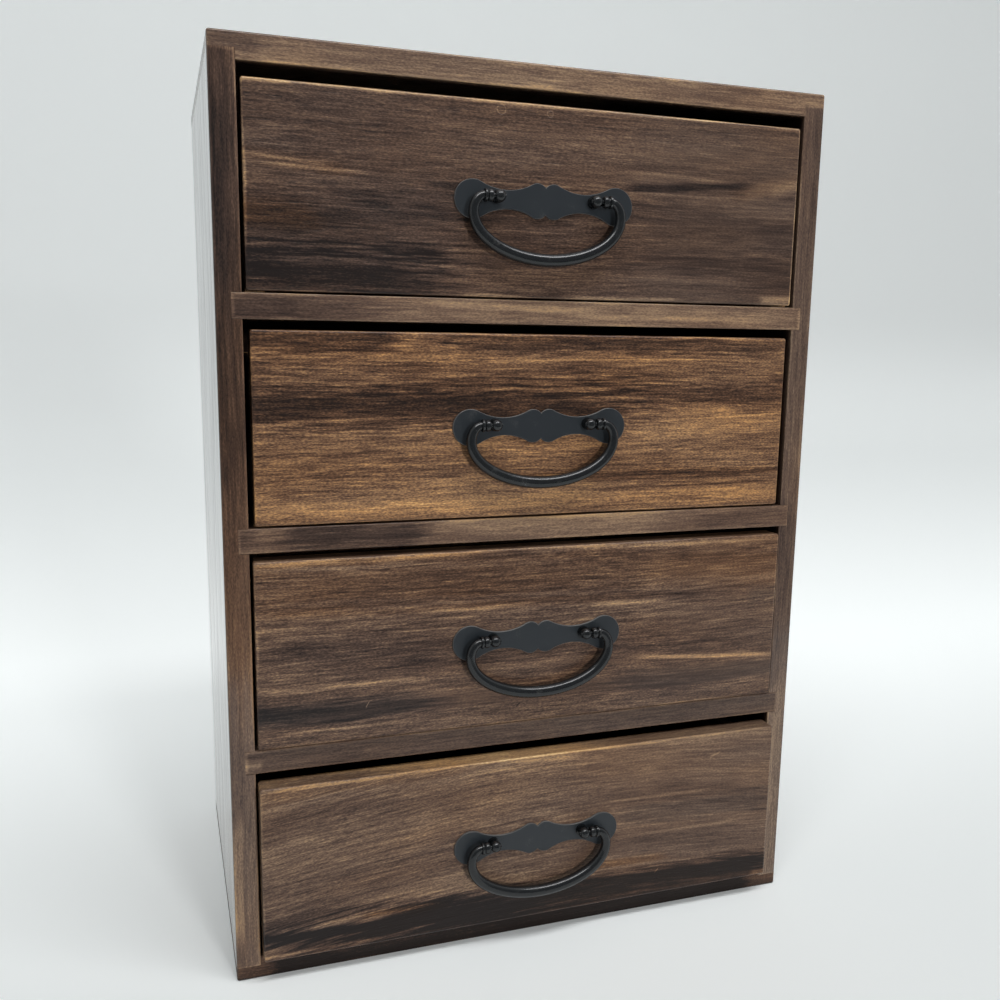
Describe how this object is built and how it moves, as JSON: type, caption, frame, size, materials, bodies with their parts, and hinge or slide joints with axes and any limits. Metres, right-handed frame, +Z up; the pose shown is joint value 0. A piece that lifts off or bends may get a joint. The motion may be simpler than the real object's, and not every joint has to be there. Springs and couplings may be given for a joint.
{
  "type": "jewellery box with drawers",
  "caption": "Upright wooden jewellery box with stacked drawers, each with a black bail pull on a scalloped backplate.",
  "frame": {"origin": "centre of the cabinet's underside, where it stands", "axes": "+X to the right seen from the front, +Y to the back, +Z up; the drawers open towards -Y"},
  "size_m": [0.25, 0.1734, 0.36],
  "materials": {
    "carcass_wood": "stained and varnished, semi-gloss",
    "drawer_1_front_wood": "stained and varnished, semi-gloss",
    "drawer_2_front_wood": "stained and varnished, semi-gloss",
    "drawer_3_front_wood": "stained and varnished, semi-gloss",
    "drawer_4_front_wood": "stained and varnished, semi-gloss",
    "drawer_wood": "bare wood",
    "plywood": "bare plywood",
    "steel": "bright zinc",
    "black_metal": "black lacquer, satin",
    "black_metal_bail": "black lacquer, glossy"
  },
  "bodies": {
    "cabinet": {"top_board": "carcass_wood", "bottom_board": "carcass_wood", "left_side": "carcass_wood", "right_side": "carcass_wood", "shelf_1": "carcass_wood", "shelf_2": "carcass_wood", "shelf_3": "carcass_wood", "back_panel": "plywood", "carcass_brads": "steel", "back_panel_brads": "steel"},
    "drawer_1": {"drawer_1_front": "drawer_1_front_wood", "drawer_1_left_side": "drawer_wood", "drawer_1_right_side": "drawer_wood", "drawer_1_back": "drawer_wood", "drawer_1_bottom": "plywood", "drawer_1_brads": "steel", "drawer_1_backplate": "black_metal", "drawer_1_posts": "black_metal", "drawer_1_nuts": "steel"},
    "bail_1": {"bail_1": "black_metal_bail"},
    "drawer_2": {"drawer_2_front": "drawer_2_front_wood", "drawer_2_left_side": "drawer_wood", "drawer_2_right_side": "drawer_wood", "drawer_2_back": "drawer_wood", "drawer_2_bottom": "plywood", "drawer_2_brads": "steel", "drawer_2_backplate": "black_metal", "drawer_2_posts": "black_metal", "drawer_2_nuts": "steel"},
    "bail_2": {"bail_2": "black_metal_bail"},
    "drawer_3": {"drawer_3_front": "drawer_3_front_wood", "drawer_3_left_side": "drawer_wood", "drawer_3_right_side": "drawer_wood", "drawer_3_back": "drawer_wood", "drawer_3_bottom": "plywood", "drawer_3_brads": "steel", "drawer_3_backplate": "black_metal", "drawer_3_posts": "black_metal", "drawer_3_nuts": "steel"},
    "bail_3": {"bail_3": "black_metal_bail"},
    "drawer_4": {"drawer_4_front": "drawer_4_front_wood", "drawer_4_left_side": "drawer_wood", "drawer_4_right_side": "drawer_wood", "drawer_4_back": "drawer_wood", "drawer_4_bottom": "plywood", "drawer_4_brads": "steel", "drawer_4_backplate": "black_metal", "drawer_4_posts": "black_metal", "drawer_4_nuts": "steel"},
    "bail_4": {"bail_4": "black_metal_bail"}
  },
  "joints": [
    {"name": "drawer_1_slide", "type": "slide", "parent": "cabinet", "child": "drawer_1", "axis": [0, -1, 0], "range_m": [0, 0.115]},
    {"name": "bail_1_swing", "type": "hinge", "parent": "drawer_1", "child": "bail_1", "pos_m": [0, -0.0845, 0.31], "axis": [-1, 0, 0], "range_deg": [-4.5, 184.5]},
    {"name": "drawer_2_slide", "type": "slide", "parent": "cabinet", "child": "drawer_2", "axis": [0, -1, 0], "range_m": [0, 0.115]},
    {"name": "bail_2_swing", "type": "hinge", "parent": "drawer_2", "child": "bail_2", "pos_m": [0, -0.0845, 0.2229], "axis": [-1, 0, 0], "range_deg": [-4.5, 184.5]},
    {"name": "drawer_3_slide", "type": "slide", "parent": "cabinet", "child": "drawer_3", "axis": [0, -1, 0], "range_m": [-0.002, 0.113]},
    {"name": "bail_3_swing", "type": "hinge", "parent": "drawer_3", "child": "bail_3", "pos_m": [0, -0.0865, 0.1352], "axis": [-1, 0, 0], "range_deg": [-4.5, 184.5]},
    {"name": "drawer_4_slide", "type": "slide", "parent": "cabinet", "child": "drawer_4", "axis": [0, -1, 0], "range_m": [-0.0064, 0.1086]},
    {"name": "bail_4_swing", "type": "hinge", "parent": "drawer_4", "child": "bail_4", "pos_m": [0, -0.0909, 0.0476], "axis": [-1, 0, 0], "range_deg": [-4.5, 184.5]}
  ]
}
